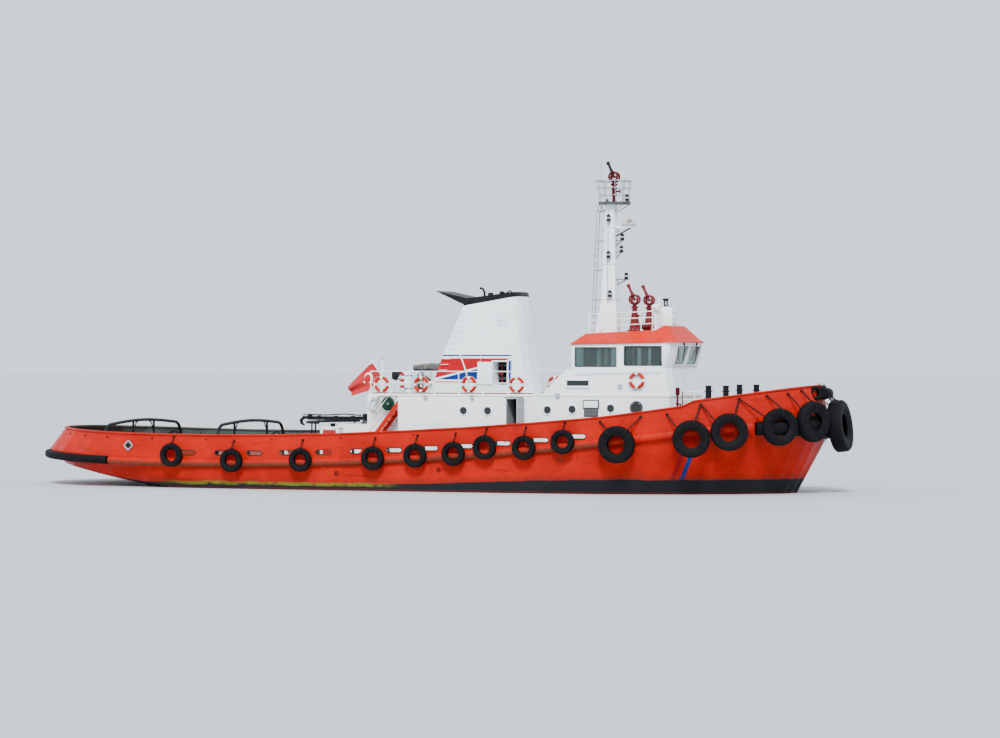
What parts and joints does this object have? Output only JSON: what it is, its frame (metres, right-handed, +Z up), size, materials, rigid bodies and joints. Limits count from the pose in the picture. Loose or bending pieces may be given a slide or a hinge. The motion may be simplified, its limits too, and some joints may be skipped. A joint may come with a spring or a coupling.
{
  "type": "harbour tug",
  "caption": "Harbour tug with an orange hull hung with tyre fenders, a white deckhouse and raked funnel, a glazed wheelhouse, a mast with fire monitors and a swinging tow arm aft.",
  "frame": {"origin": "amidships on the centreline, at the waterline", "axes": "+X forward to the bow, +Y to port, +Z up"},
  "size_m": [37.0307, 10.3094, 17.5926],
  "materials": {
    "orange_paint": "weathered marine paint",
    "white_paint": "semi-gloss, rust streaks",
    "black_paint": "satin",
    "dark_red_paint": "satin",
    "deck_red_paint": "matt, worn",
    "grey_paint": "satin",
    "green_paint": "greasy, worn",
    "fender_rubber": "matt, scuffed",
    "bronze": "cast, polished blades",
    "window_glass": "tinted",
    "varnished_wood": "varnished",
    "chair_cover": "worn",
    "boat_cover": "matt canvas",
    "flag_cloth": "matt cloth"
  },
  "bodies": {
    "vessel": {"hull": "orange_paint", "bulwark_port": "orange_paint", "bulwark_starboard": "orange_paint", "bulwark_stern": "orange_paint", "stern_fender": "fender_rubber", "bow_fender": "fender_rubber", "rub_rail_port": "fender_rubber", "rub_rail_starboard": "fender_rubber", "stem_tyre": "fender_rubber", "nozzle_port": "dark_red_paint", "nozzle_starboard": "dark_red_paint", "tow_arch_aft": "black_paint", "tow_arch_fore": "black_paint", "tow_guide_rail": "black_paint", "tow_pedestal": "white_paint", "hatch_coaming": "deck_red_paint", "hose_box": "deck_red_paint", "bitts_port": "black_paint", "bitts_starboard": "black_paint", "windlass": "green_paint", "deckhouse": "white_paint", "boat_deck": "white_paint", "stair": "deck_red_paint", "boat_railing_port": "white_paint", "boat_railing_starboard": "white_paint", "funnel": "white_paint", "funnel_cowl": "black_paint", "wheelhouse_walls": "white_paint", "wheelhouse_glass": "window_glass", "wheelhouse_roof": "orange_paint", "helm_console": "grey_paint", "helm_chair": "chair_cover", "roof_railing_port": "white_paint", "roof_railing_starboard": "white_paint", "monitor_pedestals": "dark_red_paint", "searchlight_post": "white_paint", "mast": "white_paint", "mast_platform": "white_paint", "raft_canister": "white_paint", "covered_boat": "boat_cover", "flagstaff": "white_paint", "flag": "flag_cloth"},
    "propeller_port": {"propeller_port": "bronze"},
    "propeller_starboard": {"propeller_starboard": "bronze"},
    "rudder_port": {"rudder_port": "dark_red_paint"},
    "rudder_starboard": {"rudder_starboard": "dark_red_paint"},
    "tow_arm": {"tow_arm": "black_paint"},
    "hatch_lid": {"hatch_lid": "deck_red_paint"},
    "side_door_port": {"side_door_port": "grey_paint"},
    "side_door_starboard": {"side_door_starboard": "grey_paint"},
    "funnel_door": {"funnel_door": "white_paint"},
    "wheelhouse_door": {"wheelhouse_door": "varnished_wood"},
    "radar_scanner": {"radar_scanner": "white_paint"},
    "searchlight": {"searchlight": "white_paint"},
    "monitor_swivel_port": {"monitor_swivel_port": "dark_red_paint"},
    "monitor_swivel_starboard": {"monitor_swivel_starboard": "dark_red_paint"},
    "monitor_swivel_mast": {"monitor_swivel_mast": "dark_red_paint"},
    "monitor_barrel_port": {"monitor_barrel_port": "dark_red_paint"},
    "monitor_barrel_starboard": {"monitor_barrel_starboard": "dark_red_paint"},
    "monitor_barrel_mast": {"monitor_barrel_mast": "dark_red_paint"}
  },
  "joints": [
    {"name": "propeller_port_spin", "type": "hinge", "parent": "vessel", "child": "propeller_port", "pos_m": [-11.15, 2.1, -2], "axis": [1, 0, 0], "continuous": true},
    {"name": "propeller_starboard_spin", "type": "hinge", "parent": "vessel", "child": "propeller_starboard", "pos_m": [-11.15, -2.1, -2], "axis": [1, 0, 0], "continuous": true},
    {"name": "rudder_port_turn", "type": "hinge", "parent": "vessel", "child": "rudder_port", "pos_m": [-12.7, 2.1, -0.5], "axis": [0, 0, 1], "range_deg": [-35, 35]},
    {"name": "rudder_starboard_turn", "type": "hinge", "parent": "vessel", "child": "rudder_starboard", "pos_m": [-12.7, -2.1, -0.5], "axis": [0, 0, 1], "range_deg": [-35, 35]},
    {"name": "tow_arm_swing", "type": "hinge", "parent": "vessel", "child": "tow_arm", "pos_m": [-3.2, 0, 2.95], "axis": [0, 0, 1], "range_deg": [-60, 60]},
    {"name": "hatch_lid_hinge", "type": "hinge", "parent": "vessel", "child": "hatch_lid", "pos_m": [-10.87, 0, 1.7203], "axis": [0, 1, 0], "range_deg": [0, 100]},
    {"name": "side_door_port_hinge", "type": "hinge", "parent": "vessel", "child": "side_door_port", "pos_m": [4.98, 2.43, 3], "axis": [0, 0, -1], "range_deg": [-90, 12]},
    {"name": "side_door_starboard_hinge", "type": "hinge", "parent": "vessel", "child": "side_door_starboard", "pos_m": [4.98, -2.43, 3], "axis": [0, 0, 1], "range_deg": [-90, 12]},
    {"name": "funnel_door_hinge", "type": "hinge", "parent": "vessel", "child": "funnel_door", "pos_m": [3.105, -1.2914, 4.4807], "axis": [0, 0.0549, 0.9985], "range_deg": [0, 180]},
    {"name": "wheelhouse_door_hinge", "type": "hinge", "parent": "vessel", "child": "wheelhouse_door", "pos_m": [7.07, 0.44, 5.1], "axis": [0, 0, -1], "range_deg": [0, 90]},
    {"name": "radar_spin", "type": "hinge", "parent": "vessel", "child": "radar_scanner", "pos_m": [8.85, 0, 11.43], "axis": [0, 0, 1], "continuous": true},
    {"name": "searchlight_pan", "type": "hinge", "parent": "vessel", "child": "searchlight", "pos_m": [10.25, -0.7, 7.72], "axis": [0, 0, 1], "range_deg": [-170, 170]},
    {"name": "monitor_port_pan", "type": "hinge", "parent": "vessel", "child": "monitor_swivel_port", "pos_m": [9.42, 1, 8.09], "axis": [0, 0, 1], "range_deg": [-170, 170]},
    {"name": "monitor_starboard_pan", "type": "hinge", "parent": "vessel", "child": "monitor_swivel_starboard", "pos_m": [9.42, -1, 8.09], "axis": [0, 0, 1], "range_deg": [-170, 170]},
    {"name": "monitor_mast_pan", "type": "hinge", "parent": "vessel", "child": "monitor_swivel_mast", "pos_m": [8.18, 0, 13.33], "axis": [0, 0, 1], "range_deg": [-170, 170]},
    {"name": "monitor_port_tilt", "type": "hinge", "parent": "monitor_swivel_port", "child": "monitor_barrel_port", "pos_m": [9.42, 1, 8.09], "axis": [0, 1, 0], "range_deg": [-20, 115]},
    {"name": "monitor_starboard_tilt", "type": "hinge", "parent": "monitor_swivel_starboard", "child": "monitor_barrel_starboard", "pos_m": [9.42, -1, 8.09], "axis": [0, 1, 0], "range_deg": [-20, 115]},
    {"name": "monitor_mast_tilt", "type": "hinge", "parent": "monitor_swivel_mast", "child": "monitor_barrel_mast", "pos_m": [8.18, 0, 13.33], "axis": [0, 1, 0], "range_deg": [-20, 115]}
  ]
}
